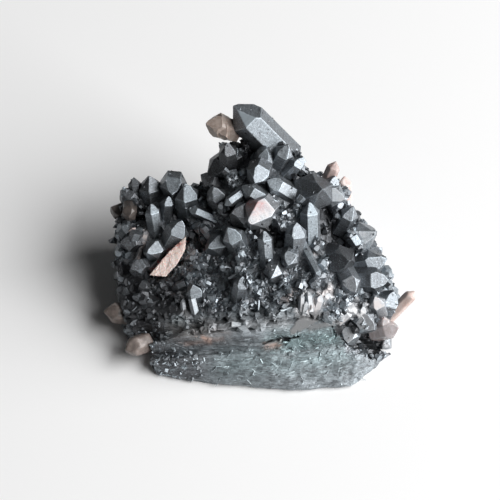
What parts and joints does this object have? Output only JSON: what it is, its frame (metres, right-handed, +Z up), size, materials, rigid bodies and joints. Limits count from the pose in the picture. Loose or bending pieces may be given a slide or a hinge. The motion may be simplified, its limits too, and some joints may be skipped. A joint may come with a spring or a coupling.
{
  "type": "mineral specimen",
  "caption": "Hand specimen of hematite on quartz: a druse of dark, coated quartz crystals on a broken, ledged matrix block with a flat underside.",
  "frame": {"origin": "middle of the specimen's box, on the flat underside", "axes": "+X across the show face to its right, +Y away from the viewer, +Z up; the show face leans toward -Y"},
  "size_m": [0.0786, 0.06, 0.0441],
  "materials": {
    "matrix_rock": "broken, fibrous, grey with a teal sheen",
    "hematite_coat": "fine-grained steel-grey to black metallic coat",
    "brown_quartz": "glossy smoky quartz",
    "pale_quartz": "glossy pale pink quartz",
    "pink_quartz": "broken, satin pink quartz"
  },
  "bodies": {
    "root": {"quartz_matrix": "matrix_rock", "hematite_druse": "hematite_coat", "peak_quartz_pair": "brown_quartz", "left_quartz_outer": "brown_quartz", "left_quartz_inner": "brown_quartz", "left_quartz_knob": "pale_quartz", "lower_left_quartz": "pale_quartz", "upper_right_quartz": "pale_quartz", "shoulder_quartz": "pale_quartz", "right_quartz_tip": "pale_quartz", "right_quartz_pair": "pale_quartz", "pink_quartz_blade": "pink_quartz"}
  },
  "joints": []
}
